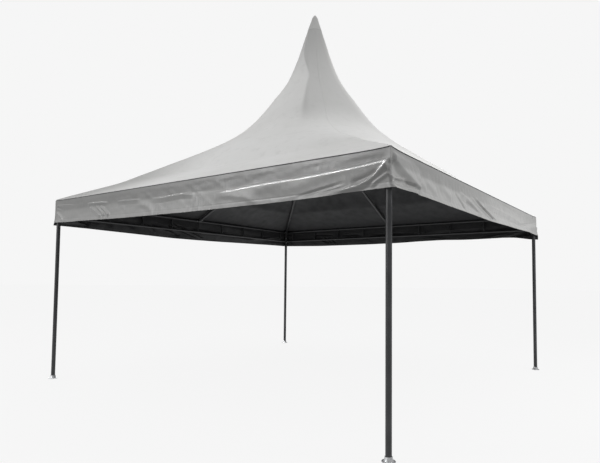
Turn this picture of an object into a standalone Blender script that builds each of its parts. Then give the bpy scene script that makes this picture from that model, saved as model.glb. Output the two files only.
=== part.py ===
"""A square marquee tent: a pagoda roof on four tubular legs, open on all four sides.

Metres, +Z up. The origin is on the ground at the centre of the plan. The front faces -Y and the
legs stand at (+-HALF_SPAN, +-HALF_SPAN). The tent is the same on its four sides, so each piece is
modelled once, at the front or at the front left corner, and turned about the Z axis for the others.
"""
import math

import bmesh
import bpy
from mathutils import Matrix, Vector

# Clearances
GAP = 0.0003                 # between two pieces that touch
SEAM_GAP = 1.5 * GAP         # from a corner plane to the edge of a cloth piece on either side

# Plan and heights
HALF_SPAN = 2.5              # plan centre to the axis of a leg
VALANCE_HALF = 2.535         # plan centre to the outer face of a valance
PEAK_Z = 5.350

# Legs and feet
LEG_RADIUS = 0.0254
FOOT_RADIUS = 0.054
FOOT_THICKNESS = 0.008
COLLAR_FOOT_RADIUS = 0.0375
COLLAR_TOP_RADIUS = 0.0305
COLLAR_HEIGHT = 0.034

# Ladder trusses under the eaves
CHORD_RADIUS = 0.017
RUNG_RADIUS = 0.0135
UPPER_CHORD_Z = 2.376
LOWER_CHORD_Z = 2.184
RUNG_PITCH = 0.578
RUNGS_EACH_SIDE = 4          # of the one at mid span

# Corner joints: a sleeve over the leg, with a socket for each tube
SLEEVE_RADIUS = 0.029
SLEEVE_BOTTOM_Z = 2.140
SLEEVE_TOP_Z = 2.388
LEG_TOP_Z = 2.290
CHORD_SOCKET_RADIUS = 0.022
CHORD_SOCKET_REACH = 0.085   # from the leg's axis to the socket's mouth
CHORD_SEAT = 0.045           # from the leg's axis to the end of the chord

# Rafters, hub and mast
RAFTER_RADIUS = 0.021
RAFTER_BASE_Z = 2.360
RAFTER_SOCKET_RADIUS = 0.0255
RAFTER_SEAT = 0.080          # along the rafter, from its base point to its lower end
RAFTER_SOCKET_REACH = 0.130
SADDLE_RADIUS = 0.0205
SADDLE_LENGTH = 0.100
SADDLE_LIP = 0.002           # of the saddle below the chord's axis
HUB_Z = 3.65
HUB_RADIUS = 0.046
HUB_BOTTOM_Z = 3.55
HUB_TOP_Z = 3.77
HUB_SEAT = 0.100             # along the rafter, from the hub's centre to its upper end
HUB_SOCKET_REACH = 0.150
MAST_RADIUS = 0.0254
MAST_TOP_Z = 5.236
PLATE_RADIUS = 0.040
PLATE_HEIGHT = 0.025
PLATE_PROFILE = (             # (share of the radius, share of the height), from the lower edge up
    (0.86, 0.00),
    (1.00, 0.20),
    (0.95, 0.55),
    (0.70, 0.87),
)
CUT_MARGIN = 0.050           # how far a boring tool stands past the face it opens

# Roof membrane
MEMBRANE_THICKNESS = 0.005
ROOF_TOP_HIP = 0.050         # hip radius where the panels end under the crown
CORNER_RISE = 0.012          # of the corner tips above the straight eave
RISE_SHARPNESS = 24          # keeps that rise close to the corner
SQUARE_LIMIT = 400           # exponent of the nearly square sections of the lower roof
HIP_CURVE = (                # (distance from the axis along a hip, height)
    (3.585, 2.400),
    (2.240, 2.868),
    (1.570, 3.138),
    (1.200, 3.345),
    (0.900, 3.607),
    (0.620, 3.960),
    (0.400, 4.284),
    (0.260, 4.615),
    (0.150, 4.951),
    (0.045, 5.276),
)
SQUARE_END = 2.74            # hip distance below which the sections turn from square to round
ROUND_START = 0.20           # hip distance below which they are circles
ROUNDING_POWER = 0.55
SLOPE_STEP = 0.001           # share of the hip distance over which a slope is measured
ROOF_ROWS = 18
ROOF_COLUMNS = 12
CROWN_STEPS = 4
CROWN_BEND = 1.5
CROWN_POINT = 0.8

# Valances
VALANCE_THICKNESS = 0.004
VALANCE_BOTTOM_Z = 2.055
VALANCE_CORNER_DROP = 0.015
VALANCE_SEAM = 0.0065        # from the roof's eave down to the top of the valance
VALANCE_COLUMNS = 12

# Roundness of the tubes
TUBE_SIDES = 20
CHORD_SIDES = 12
RUNG_SIDES = 8
SMOOTH_ANGLE = math.radians(35)

SIDES = ("front", "right", "back", "left")
CORNERS = ("front_left", "front_right", "back_right", "back_left")

MATERIALS = {                # colour, roughness, metallic
    "roof_canvas": ((0.66, 0.66, 0.655), 0.55, 0.0),
    "valance_canvas": ((0.53, 0.53, 0.525), 0.55, 0.0),
    "frame_paint": ((0.075, 0.078, 0.082), 0.45, 0.3),
    "joint_paint": ((0.060, 0.062, 0.065), 0.50, 0.3),
    "zinc": ((0.46, 0.47, 0.48), 0.40, 0.9),
}


def clear_scene():
    for old in list(bpy.data.objects):
        bpy.data.objects.remove(old, do_unlink=True)


def make_materials():
    made = {}
    for name, (colour, roughness, metallic) in MATERIALS.items():
        material = bpy.data.materials.new(name)
        material.use_nodes = True
        shader = material.node_tree.nodes["Principled BSDF"]
        shader.inputs["Base Color"].default_value = (*colour, 1.0)
        shader.inputs["Roughness"].default_value = roughness
        shader.inputs["Metallic"].default_value = metallic
        made[name] = material
    return made


def finish_mesh(mesh, material):
    mesh.shade_smooth()
    mesh.set_sharp_from_angle(angle=SMOOTH_ANGLE)
    mesh.materials.clear()
    mesh.materials.append(material)


def place_round(mesh, names, turns):
    """One object per name, each turned a further quarter about the tent's axis."""
    for turn, name in zip(turns, names):
        piece = bpy.data.objects.new(name, mesh)
        piece.rotation_euler.z = turn * math.pi / 2
        bpy.context.scene.collection.objects.link(piece)


def around_tent(stem, names, mesh, material):
    finish_mesh(mesh, material)
    place_round(mesh, [f"{stem}_{name}" for name in names], range(4))


def at_centre(name, mesh, material):
    finish_mesh(mesh, material)
    place_round(mesh, [name], [0])


def bar(start, end, radius, sides):
    """A solid round bar between two points, as a mesh."""
    start, end = Vector(start), Vector(end)
    along = end - start
    turn = along.to_track_quat("Z", "Y").to_matrix().to_4x4()
    shape = bmesh.new()
    bmesh.ops.create_cone(
        shape, cap_ends=True, segments=sides, radius1=radius, radius2=radius, depth=along.length,
        matrix=Matrix.Translation((start + end) / 2) @ turn,
    )
    return to_mesh(shape)


def box(low, high):
    low, high = Vector(low), Vector(high)
    shape = bmesh.new()
    bmesh.ops.create_cube(
        shape, size=1.0,
        matrix=Matrix.Translation((low + high) / 2) @ Matrix.Diagonal((*(high - low), 1.0)),
    )
    return to_mesh(shape)


def to_mesh(shape):
    bmesh.ops.recalc_face_normals(shape, faces=shape.faces)
    mesh = bpy.data.meshes.new("shape")
    shape.to_mesh(mesh)
    shape.free()
    return mesh


def combine(base, tools, operation):
    """The base mesh joined with, or cut by, each tool mesh in turn."""
    scene_objects = bpy.context.scene.collection.objects
    worker = bpy.data.objects.new("worker", base)
    scene_objects.link(worker)
    for mesh in tools:
        tool = bpy.data.objects.new("tool", mesh)
        scene_objects.link(tool)
        boolean = worker.modifiers.new("boolean", "BOOLEAN")
        boolean.operation = operation
        boolean.solver = "EXACT"
        boolean.object = tool
        state = bpy.context.evaluated_depsgraph_get()
        result = bpy.data.meshes.new_from_object(worker.evaluated_get(state))
        worker.modifiers.clear()
        worker.data = result
        bpy.data.objects.remove(tool, do_unlink=True)
    joined = worker.data
    bpy.data.objects.remove(worker, do_unlink=True)
    return joined


def turned(outline, sides):
    """A closed outline of (radius, height) points spun about the Z axis, point on the axis allowed."""
    shape = bmesh.new()
    rings = []
    for radius, height in outline:
        if radius == 0:
            rings.append([shape.verts.new((0, 0, height))] * sides)
            continue
        angles = [2 * math.pi * i / sides for i in range(sides)]
        rings.append([shape.verts.new((radius * math.cos(a), radius * math.sin(a), height))
                      for a in angles])
    for ring, following in zip(rings, rings[1:] + rings[:1]):
        for i in range(sides):
            j = (i + 1) % sides
            corners = list(dict.fromkeys((ring[i], ring[j], following[j], following[i])))
            if len(corners) > 2:
                shape.faces.new(corners)
    return to_mesh(shape)


def shell(outer, inner):
    """A closed skin between two grids of points with the same rows and columns."""
    shape = bmesh.new()
    outer = [[shape.verts.new(point) for point in row] for row in outer]
    inner = [[shape.verts.new(point) for point in row] for row in inner]
    rows, columns = len(outer), len(outer[0])
    for i in range(rows - 1):
        for j in range(columns - 1):
            for grid in (outer, inner):
                shape.faces.new((grid[i][j], grid[i][j + 1], grid[i + 1][j + 1], grid[i + 1][j]))
    rim = [(0, j) for j in range(columns)]
    rim += [(i, columns - 1) for i in range(1, rows)]
    rim += [(rows - 1, j) for j in range(columns - 2, -1, -1)]
    rim += [(i, 0) for i in range(rows - 2, 0, -1)]
    for (i, j), (k, m) in zip(rim, rim[1:] + rim[:1]):
        shape.faces.new((outer[i][j], outer[k][m], inner[k][m], inner[i][j]))
    return to_mesh(shape)


def smooth_curve(knots, x):
    """Height of the smooth, never overshooting curve through the knots, whose x values fall."""
    steps = [b[0] - a[0] for a, b in zip(knots, knots[1:])]
    slopes = [(b[1] - a[1]) / step for a, b, step in zip(knots, knots[1:], steps)]
    tangents = [slopes[0]]
    for i in range(1, len(slopes)):
        first, second = 2 * steps[i] + steps[i - 1], steps[i] + 2 * steps[i - 1]
        tangents.append((first + second) / (first / slopes[i - 1] + second / slopes[i]))
    tangents.append(slopes[-1])
    span = 0
    while span < len(steps) - 1 and x < knots[span + 1][0]:
        span += 1
    u = (x - knots[span][0]) / steps[span]
    return ((1 + 2 * u) * (1 - u) ** 2 * knots[span][1]
            + u * (1 - u) ** 2 * steps[span] * tangents[span]
            + u * u * (3 - 2 * u) * knots[span + 1][1]
            - u * u * (1 - u) * steps[span] * tangents[span + 1])


def smooth_step(u):
    u = min(max(u, 0.0), 1.0)
    return u * u * (3 - 2 * u)


def section_exponent(hip):
    """Exponent of the superellipse that is the roof's section: large is square, 2 is round."""
    round_share = smooth_step((SQUARE_END - hip) / (SQUARE_END - ROUND_START)) ** ROUNDING_POWER
    side_to_hip = math.sqrt(0.5) + (1 - math.sqrt(0.5)) * round_share
    flatness = 0.5 + math.log2(side_to_hip)
    return min(1 / max(flatness, 1 / SQUARE_LIMIT), SQUARE_LIMIT), side_to_hip


def roof_point(hip, share):
    """A point of the front panel: share runs from -1 at the left hip to 1 at the right one."""
    exponent, side_to_hip = section_exponent(hip)
    out = side_to_hip * hip / (1 + abs(share) ** exponent) ** (1 / exponent)
    near_eave = smooth_step((hip - HIP_CURVE[1][0]) / (HIP_CURVE[0][0] - HIP_CURVE[1][0]))
    drop = CORNER_RISE * near_eave * (1 - abs(share) ** RISE_SHARPNESS)
    return Vector((share * out, -out, smooth_curve(HIP_CURVE, hip) - drop))


def roof_hips():
    """Hip distances of the panel's rows, closer together where the roof sweeps up."""
    eave = HIP_CURVE[0][0]
    for i in range(ROOF_ROWS + 1):
        u = i / ROOF_ROWS
        yield ROOF_TOP_HIP + (eave - ROOF_TOP_HIP) * (1 - u) ** 2


def make_roof_panel():
    outer, inner = [], []
    for hip in roof_hips():
        outer_row, inner_row = [], []
        edge = 1 - SEAM_GAP / -roof_point(hip, 1).y
        for j in range(ROOF_COLUMNS + 1):
            share = edge * math.sin(math.pi * (j / ROOF_COLUMNS - 0.5))
            point = roof_point(hip, share)
            step = roof_point(hip * (1 - SLOPE_STEP), share) - roof_point(hip * (1 + SLOPE_STEP), share)
            rise, run = step.z, step.xy.length
            inward = MEMBRANE_THICKNESS / math.hypot(rise, run)
            plan = point.xy.length
            shrink = (plan - inward * rise) / plan
            outer_row.append(point)
            inner_row.append(Vector((point.x * shrink, point.y * shrink, point.z - inward * run)))
        outer.append(outer_row)
        inner.append(inner_row)
    return shell(outer, inner)


def make_valance():
    eave = HIP_CURVE[0][0]
    outer, inner = [], []
    for row in (0, 1):
        outer_row, inner_row = [], []
        for j in range(VALANCE_COLUMNS + 1):
            share = math.sin(math.pi * (j / VALANCE_COLUMNS - 0.5))
            if row == 0:
                height = roof_point(eave, share).z - VALANCE_SEAM
            else:
                height = VALANCE_BOTTOM_Z - VALANCE_CORNER_DROP * abs(share) ** RISE_SHARPNESS
            for points, depth in ((outer_row, 0), (inner_row, VALANCE_THICKNESS)):
                plane = VALANCE_HALF - depth
                points.append(Vector((share * (plane - SEAM_GAP), -plane, height)))
        outer.append(outer_row)
        inner.append(inner_row)
    return shell(outer, inner)


def crown_profile(radius, low, high):
    """Outline points of the pointed cap, from its edge up to the tent's axis."""
    for i in range(CROWN_STEPS + 1):
        u = 1 - (1 - i / CROWN_STEPS) ** 2
        yield radius * (1 - u ** CROWN_BEND) ** CROWN_POINT, low + (high - low) * u


def make_crown():
    """The sewn cap over the roof's point: hollow and open below."""
    base = smooth_curve(HIP_CURVE, ROOF_TOP_HIP) + GAP
    outer = list(crown_profile(ROOF_TOP_HIP, base, PEAK_Z))
    inner = list(crown_profile(ROOF_TOP_HIP - MEMBRANE_THICKNESS, base, PEAK_Z - MEMBRANE_THICKNESS))
    return turned(outer + inner[::-1], TUBE_SIDES)


def make_foot():
    """A round base plate with a short tapered collar that the leg stands in."""
    top = FOOT_THICKNESS + COLLAR_HEIGHT
    bore = LEG_RADIUS + GAP
    mesh = turned((
        (0, 0), (FOOT_RADIUS, 0), (FOOT_RADIUS, FOOT_THICKNESS), (COLLAR_FOOT_RADIUS, FOOT_THICKNESS),
        (COLLAR_TOP_RADIUS, top), (bore, top), (bore, FOOT_THICKNESS), (0, FOOT_THICKNESS),
    ), TUBE_SIDES)
    mesh.transform(Matrix.Translation((-HALF_SPAN, -HALF_SPAN, 0)))
    return mesh


def make_leg():
    start = (-HALF_SPAN, -HALF_SPAN, FOOT_THICKNESS + GAP)
    end = (-HALF_SPAN, -HALF_SPAN, LEG_TOP_Z - GAP)
    return bar(start, end, LEG_RADIUS, TUBE_SIDES)


def make_truss():
    """The front truss: two chords joined by upright rungs."""
    reach = HALF_SPAN - CHORD_SEAT - GAP
    chords = []
    for z in (UPPER_CHORD_Z, LOWER_CHORD_Z):
        chords.append(bar((-reach, -HALF_SPAN, z), (reach, -HALF_SPAN, z), CHORD_RADIUS, CHORD_SIDES))
    rungs = []
    for step in range(-RUNGS_EACH_SIDE, RUNGS_EACH_SIDE + 1):
        foot = (step * RUNG_PITCH, -HALF_SPAN, LOWER_CHORD_Z)
        head = (step * RUNG_PITCH, -HALF_SPAN, UPPER_CHORD_Z)
        rungs.append(bar(foot, head, RUNG_RADIUS, RUNG_SIDES))
    return combine(chords[0], rungs + [chords[1]], "UNION")


def hip_base():
    return Vector((-HALF_SPAN, -HALF_SPAN, RAFTER_BASE_Z))


def mid_base():
    return Vector((0, -HALF_SPAN, RAFTER_BASE_Z))


def hub_centre():
    return Vector((0, 0, HUB_Z))


def make_rafter(base):
    up = (hub_centre() - base).normalized()
    start = base + up * (RAFTER_SEAT + GAP)
    end = hub_centre() - up * (HUB_SEAT + GAP)
    return bar(start, end, RAFTER_RADIUS, TUBE_SIDES)


def rafter_socket(base, up):
    """The socket at a rafter's lower end, and the tool that bores it."""
    socket = bar(base, base + up * RAFTER_SOCKET_REACH, RAFTER_SOCKET_RADIUS, TUBE_SIDES)
    bore_end = base + up * (RAFTER_SOCKET_REACH + CUT_MARGIN)
    return socket, bar(base + up * RAFTER_SEAT, bore_end, RAFTER_RADIUS + GAP, TUBE_SIDES)


def make_corner_joint():
    """The front left joint: sleeve, four chord sockets and the hip rafter's socket."""
    bottom = Vector((-HALF_SPAN, -HALF_SPAN, SLEEVE_BOTTOM_Z))
    top = Vector((-HALF_SPAN, -HALF_SPAN, SLEEVE_TOP_Z))
    leg_top = Vector((-HALF_SPAN, -HALF_SPAN, LEG_TOP_Z))
    below = bottom - Vector((0, 0, CUT_MARGIN))
    sleeve = bar(bottom, top, SLEEVE_RADIUS, TUBE_SIDES)
    solids = []
    cuts = [bar(below, leg_top, LEG_RADIUS + GAP, TUBE_SIDES)]
    for height in (UPPER_CHORD_Z, LOWER_CHORD_Z):
        axis = Vector((-HALF_SPAN, -HALF_SPAN, height))
        for along in (Vector((1, 0, 0)), Vector((0, 1, 0))):
            wall = axis + along * (LEG_RADIUS + 2 * GAP)
            mouth = axis + along * CHORD_SOCKET_REACH
            bore_end = mouth + along * CUT_MARGIN
            solids.append(bar(wall, mouth, CHORD_SOCKET_RADIUS, TUBE_SIDES))
            cuts.append(bar(axis + along * CHORD_SEAT, bore_end, CHORD_RADIUS + GAP, CHORD_SIDES))
    socket, bore = rafter_socket(hip_base(), (hub_centre() - hip_base()).normalized())
    joint = combine(sleeve, solids + [socket], "UNION")
    return combine(joint, cuts + [bore], "DIFFERENCE")


def make_saddle():
    """The saddle over the middle of the front truss's upper chord, with the mid rafter's socket."""
    axis = Vector((0, -HALF_SPAN, UPPER_CHORD_Z))
    half = Vector((SADDLE_LENGTH / 2, 0, 0))
    margin = Vector((CUT_MARGIN, 0, 0))
    body = bar(axis - half, axis + half, SADDLE_RADIUS, TUBE_SIDES)
    socket, bore = rafter_socket(mid_base(), (hub_centre() - mid_base()).normalized())
    lip = UPPER_CHORD_Z - SADDLE_LIP
    reach = RAFTER_SOCKET_REACH
    under = box((-reach, -HALF_SPAN - reach, lip - reach), (reach, -HALF_SPAN + reach, lip))
    chord = bar(axis - half - margin, axis + half + margin, CHORD_RADIUS + GAP, CHORD_SIDES)
    return combine(combine(body, [socket], "UNION"), [under, chord, bore], "DIFFERENCE")


def make_hub():
    """The hub that the eight rafters meet in, with the mast's socket on top."""
    solids, cuts = [], []
    for turn in range(4):
        quarter = Matrix.Rotation(turn * math.pi / 2, 3, "Z")
        for base in (hip_base(), mid_base()):
            down = (quarter @ base - hub_centre()).normalized()
            mouth = hub_centre() + down * HUB_SOCKET_REACH
            seat = hub_centre() + down * HUB_SEAT
            solids.append(bar(hub_centre(), mouth, RAFTER_SOCKET_RADIUS, TUBE_SIDES))
            cuts.append(bar(seat, mouth + down * CUT_MARGIN, RAFTER_RADIUS + GAP, TUBE_SIDES))
    body = bar((0, 0, HUB_BOTTOM_Z), (0, 0, HUB_TOP_Z), HUB_RADIUS, TUBE_SIDES)
    cuts.append(bar((0, 0, HUB_Z), (0, 0, HUB_TOP_Z + CUT_MARGIN), MAST_RADIUS + GAP, TUBE_SIDES))
    return combine(combine(body, solids, "UNION"), cuts, "DIFFERENCE")


def make_mast():
    return bar((0, 0, HUB_Z + GAP), (0, 0, MAST_TOP_Z - GAP), MAST_RADIUS, TUBE_SIDES)


def make_mast_plate():
    """The rounded plate on the mast that carries the roof's point."""
    outline = [(0, MAST_TOP_Z)]
    for width, height in PLATE_PROFILE:
        outline.append((PLATE_RADIUS * width, MAST_TOP_Z + PLATE_HEIGHT * height))
    outline.append((0, MAST_TOP_Z + PLATE_HEIGHT))
    return turned(outline, TUBE_SIDES)


def build():
    clear_scene()
    materials = make_materials()
    around_tent("foot_plate", CORNERS, make_foot(), materials["zinc"])
    around_tent("leg", CORNERS, make_leg(), materials["frame_paint"])
    around_tent("corner_joint", CORNERS, make_corner_joint(), materials["joint_paint"])
    around_tent("truss", SIDES, make_truss(), materials["frame_paint"])
    around_tent("saddle", SIDES, make_saddle(), materials["joint_paint"])
    around_tent("hip_rafter", CORNERS, make_rafter(hip_base()), materials["frame_paint"])
    around_tent("mid_rafter", SIDES, make_rafter(mid_base()), materials["frame_paint"])
    at_centre("hub", make_hub(), materials["joint_paint"])
    at_centre("mast", make_mast(), materials["frame_paint"])
    at_centre("mast_plate", make_mast_plate(), materials["zinc"])
    around_tent("roof_panel", SIDES, make_roof_panel(), materials["roof_canvas"])
    around_tent("valance", SIDES, make_valance(), materials["valance_canvas"])
    at_centre("crown", make_crown(), materials["roof_canvas"])


build()
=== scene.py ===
"""Looks of the square marquee tent: its membrane roof, its creased valances and its painted frame.

Everything is in metres in the frame of the CAD model: the origin is on the ground at the centre of
the plan, the front faces -Y, and the legs stand at (+-HALF_SPAN, +-HALF_SPAN).
"""
import math
from typing import NamedTuple

import bmesh
import bpy
import numpy as np
from mathutils import Matrix, Vector


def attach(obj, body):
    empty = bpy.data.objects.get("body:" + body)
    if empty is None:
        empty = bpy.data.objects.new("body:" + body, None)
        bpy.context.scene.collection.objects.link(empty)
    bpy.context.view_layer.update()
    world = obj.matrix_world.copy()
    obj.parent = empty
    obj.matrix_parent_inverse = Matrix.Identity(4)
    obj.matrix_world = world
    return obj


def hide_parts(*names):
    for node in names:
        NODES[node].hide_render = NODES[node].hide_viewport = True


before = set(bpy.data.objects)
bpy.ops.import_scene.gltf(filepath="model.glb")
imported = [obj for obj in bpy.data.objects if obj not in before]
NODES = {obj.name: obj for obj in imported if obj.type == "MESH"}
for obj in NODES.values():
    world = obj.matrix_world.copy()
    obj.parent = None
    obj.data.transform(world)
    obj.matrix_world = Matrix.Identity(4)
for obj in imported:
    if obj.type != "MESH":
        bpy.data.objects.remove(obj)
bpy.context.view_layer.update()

# The tent's driving sizes, as in the part's source
HALF_SPAN = 2.5  # plan centre to the axis of a leg
VALANCE_HALF = 2.535  # plan centre to the outer face of a valance
PEAK_Z = 5.350
EAVE_Z = 2.388  # the straight part of the eave
HUB_Z = 3.65
RAFTER_BASE_Z = 2.360
UPPER_CHORD_Z = 2.376
LOWER_CHORD_Z = 2.184
CHORD_RADIUS = 0.017
RUNG_RADIUS = 0.0135
RUNG_PITCH = 0.578
RUNGS_EACH_SIDE = 4
LEG_RADIUS = 0.0254
SLEEVE_RADIUS = 0.029
FOOT_RADIUS = 0.054
FOOT_THICKNESS = 0.008
COLLAR_FOOT_RADIUS = 0.0375
COLLAR_TOP_RADIUS = 0.0305
COLLAR_HEIGHT = 0.034
ROOF_TOP_HIP = 0.050  # where the sewn crown starts
CORNER_RISE = 0.012
RISE_SHARPNESS = 24
SQUARE_LIMIT = 400
SQUARE_END = 2.74
ROUND_START = 0.20
ROUNDING_POWER = 0.55
CROWN_BEND = 1.5
CROWN_POINT = 0.8
HIP_CURVE = (  # (distance from the axis along a hip, height)
    (3.585, 2.400), (2.240, 2.868), (1.570, 3.138), (1.200, 3.345), (0.900, 3.607),
    (0.620, 3.960), (0.400, 4.284), (0.260, 4.615), (0.150, 4.951), (0.045, 5.276),
)
EAVE_HIP = HIP_CURVE[0][0]
SIDES = ("front", "right", "back", "left")
CORNERS = ("front_left", "front_right", "back_right", "back_left")


# Objects and meshes

def add_object(name, data):
    made = bpy.data.objects.new(name, data)
    bpy.context.scene.collection.objects.link(made)
    return made


def mesh_of(name, shape):
    """A new mesh from a bmesh, which is freed."""
    mesh = bpy.data.meshes.new(name)
    shape.to_mesh(mesh)
    shape.free()
    return mesh


# The photograph's camera

CAMERA_PLACE = (4.253, -5.969, 1.366)
CAMERA_YAW = math.radians(36.492)  # from +Y towards -X
CAMERA_PITCH = math.radians(3.136)
CAMERA_ROLL = math.radians(0.591)
FOCAL_SHARE = 498.455 / 600  # focal length as a share of the picture's width
CENTRE_SHIFT = (-0.006447, 0.034235)  # of the picture, as a share of its width
SENSOR_WIDTH = 36.0


def make_camera():
    turn = (Matrix.Rotation(CAMERA_YAW, 4, "Z") @ Matrix.Rotation(math.pi / 2 + CAMERA_PITCH, 4, "X")
            @ Matrix.Rotation(CAMERA_ROLL, 4, "Z"))
    data = bpy.data.cameras.new("photo_camera")
    data.sensor_fit = "HORIZONTAL"
    data.sensor_width = SENSOR_WIDTH
    data.lens = FOCAL_SHARE * SENSOR_WIDTH
    data.shift_x, data.shift_y = CENTRE_SHIFT
    data.clip_end = 200.0
    camera = add_object("photo_camera", data)
    camera.matrix_world = Matrix.Translation(CAMERA_PLACE) @ turn
    bpy.context.scene.camera = camera


# Materials

CLOTH_MARKS = (  # noise (scale, detail, roughness, stretch), its ramp to a share, tone
    ((0.9, 4.0, 0.55, None), (0.30, 0.72, 0.0, 0.85), 1.0),  # clouds
    ((7.0, 6.0, 0.62, None), (0.52, 0.80, 0.0, 0.50), 0.86),  # dust
    ((3.2, 3.0, 0.55, (3.0, 3.0, 0.35)), (0.56, 0.78, 0.0, 0.35), 0.90),  # rain marks
)
HANDLING = (11.0, 3.0, 0.5)  # noise of the soft dents left by handling
WEAVE_DISTORTION = 0.25
WAVE_SCALE = math.pi / 10  # scale of a wave texture with a pitch of 1 m
PAINT_NOISES = (  # of its tone, of the rubs and of the orange peel
    (5.0, 4.0), (38.0, 5.0, 0.7, (1.0, 1.0, 0.25)), (420.0, 1.5),
)
PAINT_DUST = (1.7, 0.012)  # the dust's tone: a factor on the paint's, and what is added
ZINC_CRYSTALS = 140.0  # scale
ZINC_DIRT = (26.0, 5.0, 0.65)  # noise
ZINC_DIRT_TONE = 0.45
PEAK_DARKENING = 0.72  # strength of each darker patch: the darkening towards the crown, and the painted shade beside the front left hip, on the cone and on the valances' upper band
# Painted shade: beside the front left hip, on the cone to the right of its crease, and on the valances' upper
# band
HIP_SHADE = 0.95
CONE_SHADE = 0.62
BAND_SHADE = 0.75
PEAK_DARKENING_Z = (4.2, 5.25)  # heights where it starts and where it is full
HIP_SHADE_Z = (3.05, 3.50)  # heights between which it fades out
HIP_SHADE_WIDTH = 2.35  # on each side of the hip, at the eave
CONE_SHADE_Z = (3.20, 3.75)
CREASE_PLACE = (3.65, 3.90)  # of the cone's crease, in metres of eave from the front left corner
CREASE_TURN = 1.8  # how far it has turned to the left at the crown
CREASE_TURN_Z = (4.2, 4.9)
CONE_SHADE_END = (7.0, 8.5)  # in metres of eave too
BAND_SHADE_DROP = (-0.15, -0.11)
BAND_SHADE_END = (-1.5, 2.0)  # Y between which it fades out


def node(tree, kind, **settings):
    """A new node, its inputs set or linked and its other settings made by name."""
    made = tree.nodes.new(kind)
    for name, value in settings.items():
        if name not in made.inputs:
            setattr(made, name, value)
        elif isinstance(value, bpy.types.NodeSocket):
            tree.links.new(value, made.inputs[name])
        else:
            made.inputs[name].default_value = value
    return made


def noise(tree, coords, scale, detail, roughness=0.55, stretch=None):
    """The value of a noise texture, its coordinates stretched if asked."""
    if stretch:
        coords = node(tree, "ShaderNodeMapping", Vector=coords, Scale=stretch).outputs[0]
    return node(tree, "ShaderNodeTexNoise", Vector=coords, Scale=scale, Detail=detail,
                Roughness=roughness).outputs["Fac"]


def ramp(tree, value, *limits):
    """A value carried smoothly from one range to another."""
    limits = dict(zip(("From Min", "From Max", "To Min", "To Max"), limits))
    return node(tree, "ShaderNodeMapRange", interpolation_type="SMOOTHSTEP", Value=value, **limits).outputs[0]


def blend_colour(tree, share, first, second):
    """A mix of two colours, each a tuple or a socket."""
    made = node(tree, "ShaderNodeMix", data_type="RGBA")
    tree.links.new(share, made.inputs["Factor"])
    for name, colour in (("A", first), ("B", second)):
        socket = next(s for s in made.inputs if s.name == name and s.type == "RGBA")
        if isinstance(colour, tuple):
            socket.default_value = (*colour, 1.0)
        else:
            tree.links.new(colour, socket)
    return next(s for s in made.outputs if s.type == "RGBA")


def add_bump(tree, shader, height, strength, distance, **before):
    made = node(tree, "ShaderNodeBump", Height=height, Strength=strength, Distance=distance, **before)
    tree.links.new(made.outputs[0], shader.inputs["Normal"])
    return made.outputs[0]


def new_material(name, metallic=0.0, specular=0.5):
    material = bpy.data.materials.new(name)
    material.use_nodes = True
    shader = material.node_tree.nodes["Principled BSDF"]
    shader.inputs["Metallic"].default_value = metallic
    shader.inputs["Specular IOR Level"].default_value = specular
    return material, material.node_tree, shader


def object_place(tree):
    return node(tree, "ShaderNodeTexCoord").outputs["Object"]


def cover(tree, shader, colour, roughness):
    tree.links.new(colour, shader.inputs["Base Color"])
    tree.links.new(roughness, shader.inputs["Roughness"])


def maths(tree, operation, first, second):
    made = node(tree, "ShaderNodeMath", operation=operation)
    tree.links.new(first, made.inputs[0])
    tree.links.new(second, made.inputs[1])
    return made.outputs[0]


def coordinate(tree, vector, axis):
    return node(tree, "ShaderNodeSeparateXYZ", Vector=vector).outputs[axis]


def patch_of_dark_tone(tree, ramps, colour, dark_tone):
    """A colour mixed towards a darker tone where all the ramps are high, each given as a value and its
    limits.
    """
    share, *others = (ramp(tree, *limits) for limits in ramps)
    for other in others:
        share = maths(tree, "MULTIPLY", share, other)
    return blend_colour(tree, share, colour, dark_tone)


def painted_roof_shade(tree, place, cloth, colour, dark_tone):
    """Painted shade beside the front left hip and on the cone to the right of its crease, and a crown that is
    darker towards the peak.
    """
    height, around = coordinate(tree, place, "Z"), coordinate(tree, cloth, "X")
    crease = maths(tree, "ADD", around, ramp(tree, height, *CREASE_TURN_Z, 0.0, CREASE_TURN))
    low_part = (height, *HIP_SHADE_Z, 1.0, 0.0)
    ring = 8 * VALANCE_HALF
    for ramps in (
        [(height, *PEAK_DARKENING_Z, 0.0, PEAK_DARKENING)],
        [(around, 0.0, HIP_SHADE_WIDTH, HIP_SHADE, 0.0), low_part],
        [(around, ring - HIP_SHADE_WIDTH, ring, 0.0, HIP_SHADE), low_part],
        [(crease, *CREASE_PLACE, 0.0, CONE_SHADE), (around, *CONE_SHADE_END, 1.0, 0.0),
         (height, *CONE_SHADE_Z, 0.0, 1.0)],
    ):
        colour = patch_of_dark_tone(tree, ramps, colour, dark_tone)
    return colour


def painted_band_shade(tree, place, cloth, colour, dark_tone):
    """Painted shade on the valances' upper band, a little darker than the rest, but not at the back of the
    tent.
    """
    return patch_of_dark_tone(tree, [(coordinate(tree, cloth, "Y"), *BAND_SHADE_DROP, 0.0, BAND_SHADE),
                                 (coordinate(tree, place, "Y"), *BAND_SHADE_END, 1.0, 0.0)], colour, dark_tone)


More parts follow.
